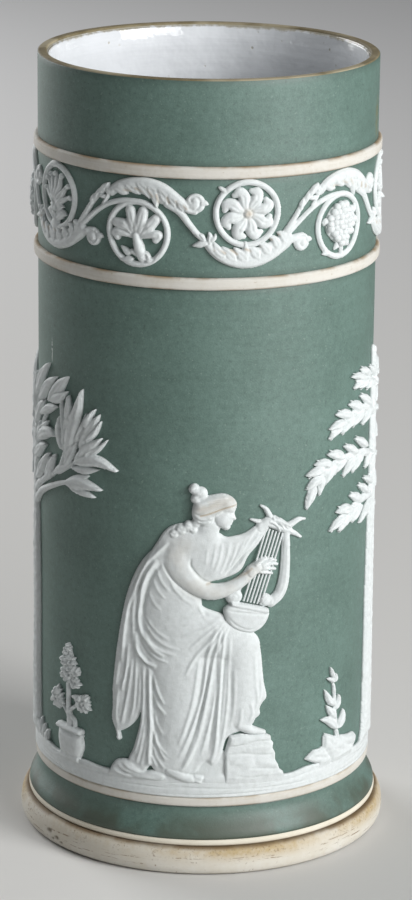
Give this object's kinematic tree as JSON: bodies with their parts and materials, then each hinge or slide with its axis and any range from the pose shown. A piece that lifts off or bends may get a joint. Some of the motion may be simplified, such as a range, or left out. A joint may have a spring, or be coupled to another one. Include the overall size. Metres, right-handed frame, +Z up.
{
  "type": "spill vase",
  "caption": "Straight cylindrical stoneware vase with a green dip, cream bands, a spreading foot and white classical reliefs; it stands on a surface and holds paper spills.",
  "frame": {"origin": "centre of the foot ring's underside, on the surface it stands on", "axes": "+Z up along the vase, -Y towards the front scene, +X to the right of the front scene"},
  "size_m": [0.0738, 0.0738, 0.1565],
  "materials": {
    "bare_body": "bare stoneware",
    "glaze": "gloss glaze",
    "green_dip": "matt",
    "band_clay": "matt",
    "foot_clay": "matt, stained",
    "sprig_clay": "matt"
  },
  "bodies": {
    "root": {"body": "bare_body", "glaze_lining": "glaze", "rim_dip": "green_dip", "frieze_dip": "green_dip", "field_dip": "green_dip", "foot_dip": "green_dip", "upper_band": "band_clay", "lower_band": "band_clay", "base_band": "band_clay", "foot_ring": "foot_clay", "trough_scrolls": "sprig_clay", "crest_scrolls": "sprig_clay", "rosette_medallions": "sprig_clay", "lily_medallions": "sprig_clay", "grape_medallions": "sprig_clay", "palmette_medallions": "sprig_clay", "ground_strip": "sprig_clay", "front_figure": "sprig_clay", "front_lyre": "sprig_clay", "front_footrest": "sprig_clay", "back_figure": "sprig_clay", "back_lyre": "sprig_clay", "back_footrest": "sprig_clay", "leafy_tree": "sprig_clay", "drooping_tree": "sprig_clay", "front_potted_plant": "sprig_clay", "back_potted_plant": "sprig_clay", "front_sapling": "sprig_clay", "back_sapling": "sprig_clay"}
  },
  "joints": []
}
